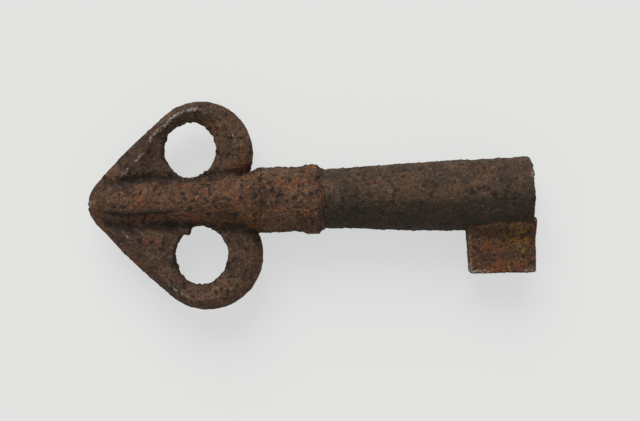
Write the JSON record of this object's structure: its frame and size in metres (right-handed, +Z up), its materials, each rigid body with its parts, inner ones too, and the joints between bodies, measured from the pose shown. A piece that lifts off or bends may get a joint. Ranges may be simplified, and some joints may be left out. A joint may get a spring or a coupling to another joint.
{
  "type": "barrel key",
  "caption": "Small rusted iron barrel key with a spade-shaped bow, oval eyes, a beaded collar, a hollow shank and a plain bit.",
  "frame": {"origin": "middle of the key's box at its lowest point, as it lies flat", "axes": "+X along the shank from the point of the bow to the mouth, +Z up from the flat of the bow, bit towards -Y"},
  "size_m": [0.0558, 0.026, 0.0093],
  "materials": {
    "forged_bow": "forged iron, rusted brown, bright along its worn edges",
    "forged_rib": "forged iron under red-brown rust",
    "collar_crust": "iron under thick, pitted rust",
    "barrel_dark": "pitted iron, dark brown to black-green",
    "bit_red": "filed iron under red and yellow rust"
  },
  "bodies": {
    "root": {"stem": "forged_rib", "bow_loop_upper": "forged_bow", "bow_loop_lower": "forged_bow", "collar": "collar_crust", "barrel": "barrel_dark", "bit": "bit_red"}
  },
  "joints": []
}
